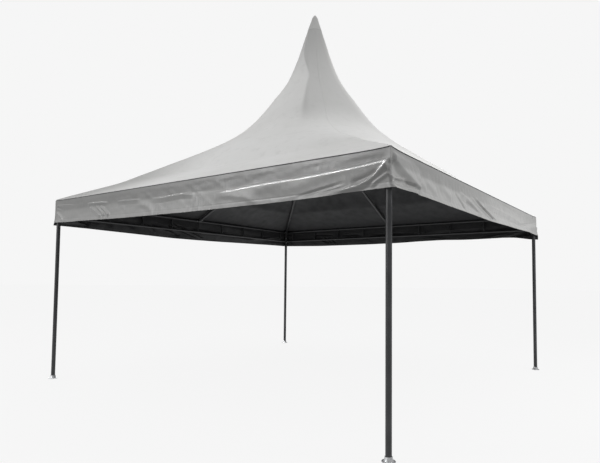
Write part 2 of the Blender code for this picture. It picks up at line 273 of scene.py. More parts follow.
def coated_cloth(name, clean, soiled, roughness, weave_pitch, weave_depth, specular=0.42, dark_tone=None,
                 darken=None):
    """Coated polyester: a faint woven relief under a satin skin, with dust and rain marks."""
    material, tree, shader = new_material(name, specular=specular)
    place = object_place(tree)
    cloth = node(tree, "ShaderNodeUVMap", uv_map="cloth").outputs["UV"]
    colour, marks = clean, []
    for texture, limits, tone in CLOTH_MARKS:
        marks.append(noise(tree, place, *texture))
        colour = blend_colour(tree, ramp(tree, marks[-1], *limits), colour, tuple(c * tone for c in soiled))
    # painted shade, where the material asks for it
    if dark_tone:
        colour = darken(tree, place, cloth, colour, dark_tone)
    cover(tree, shader, colour, ramp(tree, marks[1], 0.25, 0.75, roughness - 0.07, roughness + 0.10))
    weave = [node(tree, "ShaderNodeTexWave", bands_direction=direction, Vector=cloth,
                  Scale=WAVE_SCALE / weave_pitch, Distortion=WEAVE_DISTORTION).outputs["Fac"]
             for direction in ("X", "Y")]
    fine = add_bump(tree, shader, maths(tree, "MULTIPLY", *weave), 0.25, weave_depth)
    add_bump(tree, shader, noise(tree, place, *HANDLING), 0.15, 0.0015, Normal=fine)
    return material


def painted_steel(name, paint, worn, roughness):
    """Powder coat: orange peel, dust on it, and small chips and rubs down to a paler undercoat."""
    material, tree, shader = new_material(name, specular=0.5)
    place = object_place(tree)
    tone, rubs, peel = (noise(tree, place, *texture) for texture in PAINT_NOISES)
    dusty = tuple(c * PAINT_DUST[0] + PAINT_DUST[1] for c in paint)
    colour = blend_colour(tree, ramp(tree, tone, 0.35, 0.70, 0.0, 0.7), paint, dusty)
    colour = blend_colour(tree, ramp(tree, rubs, 0.66, 0.74, 0.0, 0.75), colour, worn)
    cover(tree, shader, colour, ramp(tree, rubs, 0.30, 0.75, roughness - 0.08, roughness + 0.14))
    fine = add_bump(tree, shader, peel, 0.18, 0.0006)
    add_bump(tree, shader, rubs, 0.12, 0.0008, Normal=fine)
    return material


def zinc_coat(name, bright, dull, roughness):
    """Hot-dip zinc: crystals of two greys, with dirt between them."""
    material, tree, shader = new_material(name, metallic=0.85)
    place = object_place(tree)
    crystals = node(tree, "ShaderNodeTexVoronoi", Vector=place, Scale=ZINC_CRYSTALS).outputs["Color"]
    cells = node(tree, "ShaderNodeRGBToBW", Color=crystals).outputs[0]
    dirt = noise(tree, place, *ZINC_DIRT)
    colour = blend_colour(tree, ramp(tree, cells, 0.15, 0.85, 0.0, 1.0), bright, dull)
    dirty = tuple(c * ZINC_DIRT_TONE for c in dull)
    colour = blend_colour(tree, ramp(tree, dirt, 0.52, 0.72, 0.0, 0.65), colour, dirty)
    cover(tree, shader, colour, ramp(tree, cells, 0.1, 0.9, roughness - 0.1, roughness + 0.12))
    add_bump(tree, shader, dirt, 0.25, 0.0008)
    return material


MATERIALS = {
    "roof_canvas": coated_cloth("roof_canvas_outside", (0.685, 0.685, 0.68), (0.635, 0.635, 0.625),
                                0.50, 0.0011, 0.00025, 0.0, (0.40, 0.40, 0.395), painted_roof_shade),
    # the valances' cloth is the roof's, at about half its tone: painted shade of the upright valances
    "valance_canvas": coated_cloth("valance_canvas_painted_shade", (0.345, 0.345, 0.34), (0.315, 0.315, 0.31),
                                   0.34, 0.0011, 0.00025, 0.60, (0.24, 0.24, 0.237), painted_band_shade),
    # the inside of the cloth is near black, which paints the shade under the roof and behind the valances
    "lining": coated_cloth("canvas_inside_painted_shade", (0.042, 0.043, 0.045), (0.030, 0.031, 0.032),
                           0.65, 0.0011, 0.0003),
    # the keder's dark grey is painted shadow: the shadow line under the roof's edge
    "trim": coated_cloth("keder_painted_shadow", (0.20, 0.20, 0.202), (0.16, 0.16, 0.162), 0.55, 0.0008, 0.0003),
    "frame_paint": painted_steel("frame_powder_coat", (0.024, 0.025, 0.027), (0.060, 0.060, 0.062), 0.36),
    "joint_paint": painted_steel("joint_powder_coat", (0.018, 0.019, 0.020), (0.07, 0.07, 0.072), 0.46),
    "zinc": zinc_coat("galvanised_steel", (0.70, 0.71, 0.72), (0.50, 0.51, 0.52), 0.42),
    "bolt": zinc_coat("bolt_zinc", (0.42, 0.42, 0.43), (0.24, 0.24, 0.25), 0.36),
}


# Cloth

CLOTH_SHARP_ANGLE = 60.0
TIP_MERGE = 1e-5


def link(name, mesh, materials):
    for material in materials:
        mesh.materials.append(MATERIALS[material])
    return add_object(name, mesh)


def smooth_mesh(mesh, angle):
    mesh.shade_smooth()
    mesh.set_sharp_from_angle(angle=math.radians(angle))


def uv_mesh(name, points, faces, uv):
    mesh = bpy.data.meshes.new(name)
    mesh.from_pydata(points.tolist(), [], faces.tolist())
    mesh.uv_layers.new(name="cloth").data.foreach_set("uv", uv.reshape(-1).astype(np.float32))
    return mesh


def cloth_piece(name, materials, outer, inner, uv, ring=False):
    """A closed sheet between two grids of points, its outer faces in slot 0 and the rest in slot 1.

    Rows run up and columns run to the right, seen from outside. The grids are (rows, columns, 3), and
    uv is in metres along the cloth. A ring joins its last column to its first, with one more column in
    uv, and its last row is a single point.
    """
    count = outer.shape[0] * outer.shape[1]
    index = np.arange(count).reshape(outer.shape[:2])
    if ring:
        index = np.concatenate([index, index[:, :1]], axis=1)
    low = left = slice(None, -1)
    high = right = slice(1, None)
    around = ((low, left), (low, right), (high, right), (high, left))
    quads = np.stack([index[k] for k in around], axis=-1).reshape(-1, 4)
    quad_uv = np.stack([uv[k] for k in around], axis=2).reshape(-1, 4, 2)
    rims = [((0, left), (0, right))]
    if not ring:
        rims += [((low, -1), (high, -1)), ((-1, right), (-1, left)), ((high, 0), (low, 0))]
    first, second = (np.concatenate([index[rim[k]] for rim in rims]) for k in (0, 1))
    first_uv, second_uv = (np.concatenate([uv[rim[k]] for rim in rims]) for k in (0, 1))
    edge = np.stack([first, first + count, second + count, second], axis=-1)
    edge_uv = np.stack([first_uv, first_uv, second_uv, second_uv], axis=1)
    faces = np.concatenate([quads, quads[:, ::-1] + count, edge])
    mesh = uv_mesh(name, np.concatenate([outer.reshape(-1, 3), inner.reshape(-1, 3)]), faces,
                   np.concatenate([quad_uv, quad_uv[:, ::-1], edge_uv]))
    slots = np.ones(len(faces), np.int32)
    slots[:len(quads)] = 0
    mesh.polygons.foreach_set("material_index", slots)
    if ring:
        shape = bmesh.new()
        shape.from_mesh(mesh)
        shape.verts.ensure_lookup_table()
        tips = [shape.verts[i + k] for i in index[-1, :-1] for k in (0, count)]
        bmesh.ops.remove_doubles(shape, verts=tips, dist=TIP_MERGE)
        shape.to_mesh(mesh)
        shape.free()
    smooth_mesh(mesh, CLOTH_SHARP_ANGLE)
    return link(name, mesh, materials)


def uv_grid(across, up):
    """Cloth coordinates from the places of the columns and of the rows."""
    return np.stack(np.broadcast_arrays(across[None, :], up[:, None]), axis=-1)


def turned_points(points, quarter):
    """Points turned by some quarter turns about the tent's axis."""
    c, s = (1, 0, -1, 0)[quarter % 4], (0, 1, 0, -1)[quarter % 4]
    x, y = points[..., 0].copy(), points[..., 1].copy()
    return np.stack([c * x - s * y, s * x + c * y, points[..., 2]], axis=-1)


def outward(points, ring=False):
    """Unit normals of a grid of points whose rows run up and columns run to the right."""
    upward = np.gradient(points, axis=0)
    if ring:
        across = (np.roll(points, -1, axis=1) - np.roll(points, 1, axis=1)) / 2
    else:
        across = np.gradient(points, axis=1)
    normal = np.cross(across, upward)
    return normal / np.maximum(np.linalg.norm(normal, axis=-1, keepdims=True), 1e-12)


def crowded(count, crowding):
    """Shares from -1 to 1, without the last, closer together near both ends."""
    even = np.linspace(-1, 1, count + 1)[:-1]
    return crowding * np.sin(math.pi / 2 * even) + (1 - crowding) * even


# The roof's surface

def smooth_curve(knots, x):
    """Height of the smooth, never overshooting curve through the knots, whose x values fall."""
    kx, kz = np.array(knots).T
    steps = np.diff(kx)
    slopes = np.diff(kz) / steps
    first, second = 2 * steps[1:] + steps[:-1], steps[1:] + 2 * steps[:-1]
    inner = (first + second) / (first / slopes[:-1] + second / slopes[1:])
    tangents = np.concatenate([slopes[:1], inner, slopes[-1:]])
    span = np.clip(np.searchsorted(-kx, -x, side="right") - 1, 0, len(steps) - 1)
    u = (x - kx[span]) / steps[span]
    return ((1 + 2 * u) * (1 - u) ** 2 * kz[span]
            + u * (1 - u) ** 2 * steps[span] * tangents[span]
            + u * u * (3 - 2 * u) * kz[span + 1]
            - u * u * (1 - u) * steps[span] * tangents[span + 1])


def smooth_step(u):
    u = np.clip(u, 0.0, 1.0)
    return u * u * (3 - 2 * u)


def roof_points(hip, share):
    """Points of the front panel: share runs from -1 at the left hip to 1 at the right one."""
    round_share = smooth_step((SQUARE_END - hip) / (SQUARE_END - ROUND_START)) ** ROUNDING_POWER
    side_to_hip = math.sqrt(0.5) + (1 - math.sqrt(0.5)) * round_share
    flatness = 0.5 + np.log2(side_to_hip)
    exponent = np.minimum(1 / np.maximum(flatness, 1 / SQUARE_LIMIT), SQUARE_LIMIT)
    out = side_to_hip * hip / (1 + np.abs(share) ** exponent) ** (1 / exponent)
    near_eave = smooth_step((hip - HIP_CURVE[1][0]) / (HIP_CURVE[0][0] - HIP_CURVE[1][0]))
    drop = CORNER_RISE * near_eave * (1 - np.abs(share) ** RISE_SHARPNESS)
    return np.stack([share * out, -out, smooth_curve(HIP_CURVE, hip) - drop], axis=-1)


# How the real roof differs from the ideal one

CORNER_SETTLE = {  # of each corner tip from its CAD height
    "front_left": 0.019,
    "front_right": 0.004,
    "back_right": -0.007,
    "back_left": 0.0,
}
SETTLE_START = 2.6  # hip distance where the settling starts
CREASE = (  # (height, bearing in degrees from -Y towards +X) of the cone's long crease
    (5.20, -30.0), (4.94, -3.5), (4.78, 8.0), (4.60, 14.8), (4.43, 19.5),
    (4.29, 22.5), (4.14, 25.3), (3.88, 28.5), (3.64, 30.0), (3.44, 32.0),
)
CREASE_TILT = 0.32  # slope of the cloth beside the crease
CREASE_REACH = (0.30, 0.004)  # a share of the distance from the axis, and what is added to it
CREASE_FADE = (0.25, 0.20)  # heights over which it fades, at its foot and at its top
CREASE_OVERSHOOT = 0.1  # of its top above the last bearing
CREASE_ROUNDING = 0.006
VALLEY = (  # (bearing, height) of the shallow valley at the cone's foot
    (20.0, 3.47), (32.0, 3.44), (40.0, 3.41), (48.0, 3.36), (56.0, 3.43), (66.0, 3.53), (80.0, 3.60),
)
VALLEY_DEPTH = 0.010
VALLEY_REACH = 0.075
VALLEY_ENDS = (15, 85)  # bearings
VALLEY_FADE = 20
VALLEY_ROUNDING = 0.01
RIPPLE = 0.0012  # size of the broad unevenness of the stretched cloth
RIPPLE_PITCHES = (0.45, 0.7, 1.1)
RIPPLE_SEED = 11
TAUT_RADIUS = 0.8  # the cloth is tauter near the mast and the eave
TAUT_HEIGHT = 0.12


def settle(quarter, share):
    """How far the eave lies above its CAD height, along one side."""
    left = CORNER_SETTLE[CORNERS[quarter]]
    right = CORNER_SETTLE[CORNERS[(quarter + 1) % 4]]
    return left + (right - left) * (share + 1) / 2


def eave_height(quarter, share):
    return EAVE_Z + CORNER_RISE * np.abs(share) ** RISE_SHARPNESS + settle(quarter, share)


def plane_waves(seed, points, pitches, each=4):
    """A smooth field from -1 to 1 or so: waves of the given pitches in random directions."""
    random = np.random.default_rng(seed)
    total = np.zeros(points.shape[:-1])
    for pitch in pitches:
        for _ in range(each):
            direction = random.normal(size=points.shape[-1])
            direction *= 2 * math.pi / pitch / np.linalg.norm(direction)
            total += np.sin(points @ direction + random.uniform(0, 2 * math.pi))
    return total / math.sqrt(len(pitches) * each / 2)


def roof_relief(points):
    """How far the cloth stands out from the smooth roof, at points on the roof."""
    x, y, z = points[..., 0], points[..., 1], points[..., 2]
    plan = np.hypot(x, y)
    bearing = np.degrees(np.arctan2(x, -y))
    heights, bearings = np.array(CREASE)[::-1].T
    off = np.radians(bearing - np.interp(z, heights, bearings)) * plan
    reach = CREASE_REACH[0] * plan + CREASE_REACH[1]
    along = (smooth_step((z - heights[0]) / CREASE_FADE[0])
             * smooth_step((heights[-1] + CREASE_OVERSHOOT - z) / CREASE_FADE[1]))
    crease = CREASE_TILT * reach * along * np.exp(-np.sqrt(off ** 2 + CREASE_ROUNDING ** 2) / reach)
    bearings, heights = np.array(VALLEY).T
    off = z - np.interp(bearing, bearings, heights)
    along = (smooth_step((bearing - VALLEY_ENDS[0]) / VALLEY_FADE)
             * smooth_step((VALLEY_ENDS[1] - bearing) / VALLEY_FADE))
    valley = -VALLEY_DEPTH * along * np.exp(-np.sqrt(off ** 2 + VALLEY_ROUNDING ** 2) / VALLEY_REACH)
    slack = smooth_step(plan / TAUT_RADIUS) * smooth_step((z - EAVE_Z) / TAUT_HEIGHT)
    ripple = RIPPLE * slack * plane_waves(RIPPLE_SEED, points, RIPPLE_PITCHES)
    return crease + valley + ripple


# The roof

CANOPY_THICKNESS = 0.003
CANOPY_ROWS = 118
CROWN_ROWS = 7
CANOPY_COLUMNS = 72  # on each side
ROW_CROWDING = 1.7  # rows are closer together where the roof sweeps up
COLUMN_CROWDING = 0.75  # columns are closer together near the hips
SEAM_HALF_WIDTH = 0.021
SEAM_COLUMNS = (-1, -0.93, -0.5, -0.12, 0, 0.12, 0.5, 0.93, 1)  # as shares of the half width
SEAM_ROWS = 150
STRIP_RAISE = 0.0012  # of a strip over a seam, above the cloth's outer face
STRIP_EDGE = 0.0002  # the same at its edges
SEAM_SINK = 0.001  # how far it goes into the canopy
SEAM_HIPS = (EAVE_HIP - 0.002, 0.12)
SEAM_LENGTH = 4.2
CAP_BOTTOM_HIP = 0.105
CAP_ROWS = 18
CAP_COLUMNS = 24
CAP_RAISE = 0.0022
CAP_GAP = 0.0004
CAP_GIRTH = 0.45


def roof_side(hip, share, quarter):
    """Points of the settled roof on one side, before its relief."""
    points = roof_points(hip, share)
    points[..., 2] += settle(quarter, share) * smooth_step((hip - SETTLE_START) / (EAVE_HIP - SETTLE_START))
    return turned_points(points, quarter)


def with_crown(grid):
    """The grid with the rows of the pointed crown added above it."""
    base = smooth_curve(HIP_CURVE, np.array([ROOF_TOP_HIP]))[0]
    u = 1 - (1 - np.arange(1, CROWN_ROWS + 1) / CROWN_ROWS) ** 2
    crown = np.empty((CROWN_ROWS, grid.shape[1], 3))
    crown[..., :2] = grid[-1, None, :, :2] * ((1 - u ** CROWN_BEND) ** CROWN_POINT)[:, None, None]
    crown[..., 2] = base + (PEAK_Z - base) * u[:, None]
    return np.concatenate([grid, crown])


def roof_ring(hips, shares):
    """The roof's grid of points all round, with its crown, and its normals."""
    hip, share = np.meshgrid(hips, shares, indexing="ij")
    grid = with_crown(np.concatenate([roof_side(hip, share, quarter) for quarter in range(4)], axis=1))
    normal = outward(grid, ring=True)
    normal[-1] = (0, 0, 1)
    return grid, normal


def make_canopy():
    u = np.linspace(0, 1, CANOPY_ROWS + 1)
    hips = ROOF_TOP_HIP + (EAVE_HIP - ROOF_TOP_HIP) * (1 - u) ** ROW_CROWDING
    shares = crowded(CANOPY_COLUMNS, COLUMN_CROWDING)
    grid, normal = roof_ring(hips, shares)
    outer = grid + normal * roof_relief(grid)[..., None]
    outer[-1] = (0, 0, PEAK_Z)
    inner = outer - normal * CANOPY_THICKNESS
    inner[0] = outer[0] - (0, 0, CANOPY_THICKNESS)
    rises = np.linalg.norm(np.diff(grid, axis=0), axis=-1).mean(axis=1)
    eave = [2 * VALANCE_HALF * k + VALANCE_HALF * (shares + 1) for k in range(4)]
    uv = uv_grid(np.append(np.concatenate(eave), 8 * VALANCE_HALF), np.append(0, np.cumsum(rises)))
    return cloth_piece("roof_canopy", ("roof_canvas", "lining"), outer, inner, uv, ring=True)


def strip_raise(columns):
    """How far each column of a strip lies above the cloth."""
    raised = np.full((1, columns, 1), STRIP_RAISE)
    raised[:, [0, -1]] = STRIP_EDGE
    return raised


def make_hip_seams():
    """The welded straps over the four hips, as one piece."""
    hips = np.linspace(*SEAM_HIPS, SEAM_ROWS)
    reach = -roof_points(hips, np.ones_like(hips))[:, 1]
    offs = np.array(SEAM_COLUMNS) * SEAM_HALF_WIDTH
    raised = strip_raise(len(offs))
    made = []
    for quarter in range(4):
        grid = np.stack([roof_side(hips, 1 + off / reach, (quarter - 1) % 4) if off < 0
                         else roof_side(hips, -1 + off / reach, quarter) for off in offs], axis=1)
        normal, relief = outward(grid), roof_relief(grid)[..., None]
        outer, inner = (grid + normal * (relief + out) for out in (raised, -SEAM_SINK))
        uv = uv_grid(2 * VALANCE_HALF * quarter + offs, np.linspace(0, SEAM_LENGTH, SEAM_ROWS))
        made.append(cloth_piece("seam", ("roof_canvas", "roof_canvas"), outer, inner, uv))
    return join("roof_hip_seams", made)


def make_crown_cap():
    """The reinforcing boot sewn over the peak."""
    grid, normal = roof_ring(np.linspace(CAP_BOTTOM_HIP, ROOF_TOP_HIP, CAP_ROWS),
                             np.linspace(-1, 1, CAP_COLUMNS + 1)[:-1])
    relief = roof_relief(grid)[..., None]
    outer, inner = (grid + normal * (relief + out) for out in (CAP_RAISE, CAP_GAP))
    outer[-1] = (0, 0, PEAK_Z + CAP_RAISE)
    inner[-1] = (0, 0, PEAK_Z + CAP_GAP)
    uv = uv_grid(np.linspace(0, CAP_GIRTH, grid.shape[1] + 1), grid[:, 0, 2])
    return cloth_piece("crown_cap", ("roof_canvas", "lining"), outer, inner, uv, ring=True)


def join(name, parts):
    """Several objects as one, with the materials of the first."""
    shape = bmesh.new()
    for part in parts:
        shape.from_mesh(part.data)
    mesh = mesh_of(name, shape)
    for material in parts[0].data.materials:
        mesh.materials.append(material)
    for part in parts:
        old = part.data
        bpy.data.objects.remove(part)
        bpy.data.meshes.remove(old)
    return add_object(name, mesh)


# The valances

VALANCE_THICKNESS = 0.0024
VALANCE_ROWS = 64
VALANCE_CELL = 0.0105
VALANCE_COLUMNS = round(2 * VALANCE_HALF / VALANCE_CELL) + 1
GROOVE = 0.0075  # between the eave and the top of a valance
FRAME_FACE = 2.5175  # outer face of the chords, which no valance goes behind
FRAME_CLEARANCE = 0.0015
SOFT_LIMIT = 0.6  # share of the way back to the frame where hollows start to flatten
SOFT_SLOPE = 0.4
HEM_FLARE = 0.005
FLARE_HEIGHT = 0.10
HEM_HEIGHT = 0.038
HEM_RAISE = 0.0010
HEM_EDGE = 0.004
STITCH_DEPTH = 0.0012
STITCH_PLACE = 0.002  # above the hem's upper edge
STITCH_WIDTH = 0.006
CORNER_BLEND = 0.10  # length over which a valance's end meets its neighbour's folds
CORNER_GAP = 0.0006

HEMS = {  # in millimetres, seen from outside: (along the side, below EAVE_Z)
    "front": ((-2535, 281), (-2440, 284), (-2130, 294), (-1830, 296), (-1550, 305), (-1040, 318),
              (-570, 323), (50, 331), (770, 335), (1380, 336), (1900, 329), (2250, 317), (2535, 311)),
    "right": ((-2535, 314), (-2330, 310), (-2020, 305), (-1470, 309), (-790, 313), (-250, 319), (400, 322),
              (770, 318), (1180, 312), (1630, 304), (2130, 298), (2535, 294)),
    "back": ((-2535, 360), (-2450, 355), (-2280, 318), (-2110, 303), (-1760, 311), (-1390, 315),
             (-1000, 303), (-590, 311), (-160, 326), (480, 332), (1030, 330), (1610, 328), (2240, 312),
             (2535, 303)),
    "left": ((-2535, 303), (-1900, 309), (-1170, 323), (-530, 336), (50, 345), (570, 347), (1050, 337),
             (1690, 326), (2250, 315), (2535, 316)),
}
HEM_ROUNDING = (0.12, 13)  # reach and number of samples
PROFILES = {  # (drop, distance in front of the flat plane) of the cloth without its folds
    "front": ((0.0, 0.0), (0.03, -0.001), (0.16, -0.009), (0.33, 0.002)),
    "right": ((0.0, 0.0), (0.03, -0.001), (0.13, -0.009), (0.33, 0.024)),
}
PROFILE_ROUNDING = (0.02, 9)  # likewise
TOP_FLAT = 0.012  # below EAVE_Z, where the folds start
TOP_FADE = 0.055
WAVES = (  # size, stretch along and down the side, pitches and seed of two kinds
    (0.0012, (0.7, 1.6), (0.24, 0.42, 0.75), 20),
    (0.0005, (1.3, 0.6), (0.05, 0.085), 70),
)
FOLD_STRENGTH = {"front": 1.35, "right": 1.7, "back": 1.35, "left": 1.7}
CREST_ROUNDING = 0.08  # as a share of the fold's reach
FLANK_ROUNDING = 0.05
MIN_FADE = 1e-6


class Fold(NamedTuple):
    """A ridge of the cloth along a path, or a groove if its rise is negative, in millimetres.

    The path's points are along the side from its middle, and below EAVE_Z, seen from outside. The
    ridge falls off over `left` on the left hand of someone who follows the path, and over `right` on
    the right hand. It fades in over the first share of its length, and out over the last. A crisp
    fold has a sharp crest and straight flanks, which end at `left` and `right`.
    """
    path: tuple
    rise: float
    left: float
    right: float
    fade_in: float
    fade_out: float
    crisp: bool = False


FRONT_FOLDS = [Fold(*row) for row in (
    # the long crease from the front right corner, bright on its upper side
    (((142, 146), (412, 168), (737, 186), (1099, 170), (1403, 164), (1685, 159), (1945, 150), (2235, 133),
     (2532, 106)), 33, 35, 230, 0.5, 0.01, True),
    # its fainter run to the left, broken in four
    (((-450, 140), (-199, 147), (102, 138), (353, 162)), 14, 20, 50, 0.3, 0.3, True),
    (((-1103, 117), (-859, 121), (-601, 132)), 12, 18, 45, 0.3, 0.3, True),
    (((-1758, 91), (-1533, 94), (-1254, 110)), 14, 18, 40, 0.2, 0.3, True),
    (((-2515, 55), (-2313, 63), (-1980, 87)), 7, 18, 40, 0.1, 0.4, True),
    # creases that fan out from the front right corner
    (((2003, 312), (2142, 294), (2282, 267), (2393, 219), (2522, 116)), 22, 26, 45, 0.2, 0.04, True),
    (((2183, 244), (2332, 211), (2442, 161)), -10, 18, 18, 0.2, 0.2),
    (((2362, 293), (2437, 243), (2522, 196)), 12, 16, 26, 0.2, 0.05, True),
    (((1604, 313), (1864, 275), (2143, 232)), -10, 20, 30, 0.3, 0.3, True),
    (((1804, 318), (1983, 287), (2163, 267)), -7, 14, 20, 0.3, 0.3, True),
    # the fan of short folds near the left end
    (((-1708, 123), (-1556, 183), (-1385, 278)), 20, 24, 45, 0.25, 0.15, True),
    (((-1546, 125), (-1425, 193), (-1324, 273)), 18, 22, 36, 0.25, 0.15, True),
    (((-1456, 133), (-1335, 197), (-1224, 277)), 18, 22, 36, 0.25, 0.15, True),
    (((-2495, 76), (-2414, 95), (-2323, 125)), -9, 14, 18, 0.1, 0.4, True),
    (((-2515, 146), (-2393, 211), (-2312, 281)), 10, 30, 26, 0.1, 0.3, True),
    (((604, 202), (954, 241), (1204, 315)), 6, 50, 30, 0.3, 0.2),
    (((-751, 171), (-500, 215), (-379, 310)), 5, 45, 30, 0.3, 0.2),
)]
RIGHT_FOLDS = [Fold(*row) for row in (
    # the wide triangle beside the front right corner
    (((-2526, 85), (-2417, 121), (-2247, 181), (-2010, 274)), 26, 200, 55, 0.05, 0.12, True),
    (((-2526, 210), (-2380, 235), (-2230, 262)), -8, 80, 80, 0.01, 0.3),
    (((-2526, 230), (-2397, 224), (-2272, 206)), 12, 18, 26, 0.05, 0.3, True),
    (((-2506, 255), (-2297, 243), (-2130, 251), (-2037, 274)), -13, 24, 24, 0.1, 0.15, True),
    (((-2526, 265), (-2364, 285), (-2217, 285), (-2076, 279)), 10, 12, 14, 0.05, 0.2),
    # soft slanting waves, then two sharp pulls
    (((-2130, 142), (-1977, 187), (-1858, 243)), 7, 60, 35, 0.3, 0.2),
    (((-1902, 148), (-1748, 193), (-1628, 249)), 8, 60, 35, 0.3, 0.2),
    (((-1580, 124), (-1398, 175), (-1239, 246)), 9, 70, 35, 0.3, 0.2),
    (((-1128, 141), (-999, 207), (-874, 289)), -13, 18, 26, 0.2, 0.05, True),
    (((-1003, 122), (-699, 193), (-356, 287)), 17, 35, 60, 0.15, 0.05, True),
    (((-899, 192), (-679, 228), (-444, 277)), -11, 20, 20, 0.25, 0.15),
    (((-579, 108), (-399, 167), (-159, 228), (100, 299)), -15, 18, 18, 0.15, 0.05, True),
    (((-499, 104), (-319, 160), (-69, 221), (180, 292)), 12, 22, 16, 0.15, 0.05, True),
    (((-659, 118), (-459, 181), (-219, 240), (20, 301)), 10, 16, 20, 0.15, 0.05, True),
    # the smooth upper band and the hollow under it, out to the back right corner
    (((-249, 135), (271, 150), (801, 170), (1451, 205), (1902, 170)), 18, 120, 50, 0.2, 0.3, True),
    (((1301, 252), (1601, 213), (2052, 150), (2523, 82)), -15, 24, 22, 0.25, 0.03, True),
    (((1451, 267), (1851, 224), (2202, 190), (2533, 172)), 14, 30, 60, 0.3, 0.05),
    # the hem's flare, bright under the hollow and at the front right corner
    (((-100, 322), (600, 322), (1200, 312), (1800, 302), (2400, 294)), 18, 90, 90, 0.3, 0.3, True),
    (((-2530, 314), (-2300, 309), (-2050, 305)), 14, 45, 45, 0.0, 0.2, True),
)]


def mirrored(folds):
    return [fold._replace(path=[(-s, drop) for s, drop in fold.path], left=fold.right, right=fold.left)
            for fold in folds]


FOLDS = {"front": FRONT_FOLDS, "right": RIGHT_FOLDS, "back": mirrored(FRONT_FOLDS),
         "left": mirrored(RIGHT_FOLDS)}
PROFILES["back"] = PROFILES["front"]
PROFILES["left"] = PROFILES["right"]


def smooth_path(points, spacing=0.012):
    """Points along a smooth curve through the given ones."""
    p = np.array(points)
    p = np.concatenate([2 * p[:1] - p[1:2], p, 2 * p[-1:] - p[-2:-1]])
    made = []
    for a, b, c, d in zip(p, p[1:], p[2:], p[3:]):
        u = np.linspace(0, 1, max(2, int(np.linalg.norm(c - b) / spacing)), endpoint=False)[:, None]
        made.append(0.5 * (2 * b + (c - a) * u + (2 * a - 5 * b + 4 * c - d) * u ** 2
                           + (3 * b - a - 3 * c + d) * u ** 3))
    return np.concatenate(made + [p[-2:-1]])


def fold_relief(fold, s, drop):
    """How far a fold lifts the cloth, at places given along and down the side."""
    line = smooth_path(np.array(fold.path) / 1000)
    left, right = fold.left / 1000, fold.right / 1000
    where = np.stack([s, drop], axis=-1)
    margin = 4 * max(left, right)
    near = np.ones(s.shape, bool)
    for axis in (0, 1):
        low, high = line[:, axis].min() - margin, line[:, axis].max() + margin
        near &= (where[..., axis] > low) & (where[..., axis] < high)
    spot = where[near]
    start, step = line[:-1], np.diff(line, axis=0)
    length = np.linalg.norm(step, axis=1)
    rel = spot[:, None, :] - start
    t = np.clip((rel * step).sum(-1) / length ** 2, 0, 1)
    away = rel - t[..., None] * step
    far = np.linalg.norm(away, axis=-1)
    best = far.argmin(axis=1)
    rows = np.arange(len(spot))
    hand = np.sign(step[best, 0] * away[rows, best, 1] - step[best, 1] * away[rows, best, 0])
    along = (np.append(0, np.cumsum(length))[best] + t[rows, best] * length[best]) / length.sum()
    fade = (smooth_step(along / max(fold.fade_in, MIN_FADE))
            * smooth_step((1 - along) / max(fold.fade_out, MIN_FADE)))
    share = far[rows, best] / np.where(hand > 0, right, left)
    if fold.crisp:
        share = np.sqrt(share ** 2 + CREST_ROUNDING ** 2)
        shape = np.sqrt(np.maximum(1 - share, 0) ** 2 + FLANK_ROUNDING ** 2) - FLANK_ROUNDING
    else:
        shape = np.exp(-share ** 2)
    lift = np.zeros(s.shape)
    lift[near] = fold.rise / 1000 * fade * shape
    return lift


def rounded(knots, at, reach, count):
    """Straight lines between knots, rounded by averaging over a reach on both sides."""
    places, values = np.array(knots).T
    return np.mean([np.interp(at + k, places, values) for k in np.linspace(-reach, reach, count)], axis=0)


def hem_drop(side, s):
    return rounded(np.array(HEMS[side]) / 1000, s, *HEM_ROUNDING)


def valance_relief(side, s, drop):
    """How far a valance's cloth stands out from its flat plane."""
    lift = sum(fold_relief(fold, s, drop) for fold in FOLDS[side])
    lift = lift * FOLD_STRENGTH[side] + rounded(PROFILES[side], drop, *PROFILE_ROUNDING)
    for size, stretch, pitches, seed in WAVES:
        flat = np.stack([s, drop], axis=-1) * stretch
        lift += size * plane_waves(seed + SIDES.index(side), flat, pitches)
    return lift * smooth_step((drop - TOP_FLAT) / TOP_FADE)


def valance_grid(quarter):
    """(s, drop, lift) of one valance: rows from its hem up to its top."""
    side = SIDES[quarter]
    s = np.linspace(-VALANCE_HALF, VALANCE_HALF, VALANCE_COLUMNS)
    hem = hem_drop(side, s)
    top = EAVE_Z - eave_height(quarter, s / VALANCE_HALF) + GROOVE + CANOPY_THICKNESS
    drop = top + (hem - top) * np.linspace(1, 0, VALANCE_ROWS + 1)[:, None]
    place = np.broadcast_to(s, drop.shape)
    above_hem = hem - drop
    lift = valance_relief(side, place, drop)
    lift = lift + HEM_FLARE * np.clip(1 - above_hem / FLARE_HEIGHT, 0, 1) ** 2
    lift = lift + HEM_RAISE * smooth_step((HEM_HEIGHT - above_hem) / HEM_EDGE)
    lift = lift - STITCH_DEPTH * np.exp(-((above_hem - HEM_HEIGHT - STITCH_PLACE) / STITCH_WIDTH) ** 2)
    behind = FRAME_FACE + FRAME_CLEARANCE + VALANCE_THICKNESS - VALANCE_HALF
    limit = behind * SOFT_LIMIT
    lift = np.where(lift < limit, limit + (lift - limit) * SOFT_SLOPE, lift)
    return place, drop, np.maximum(lift, behind)


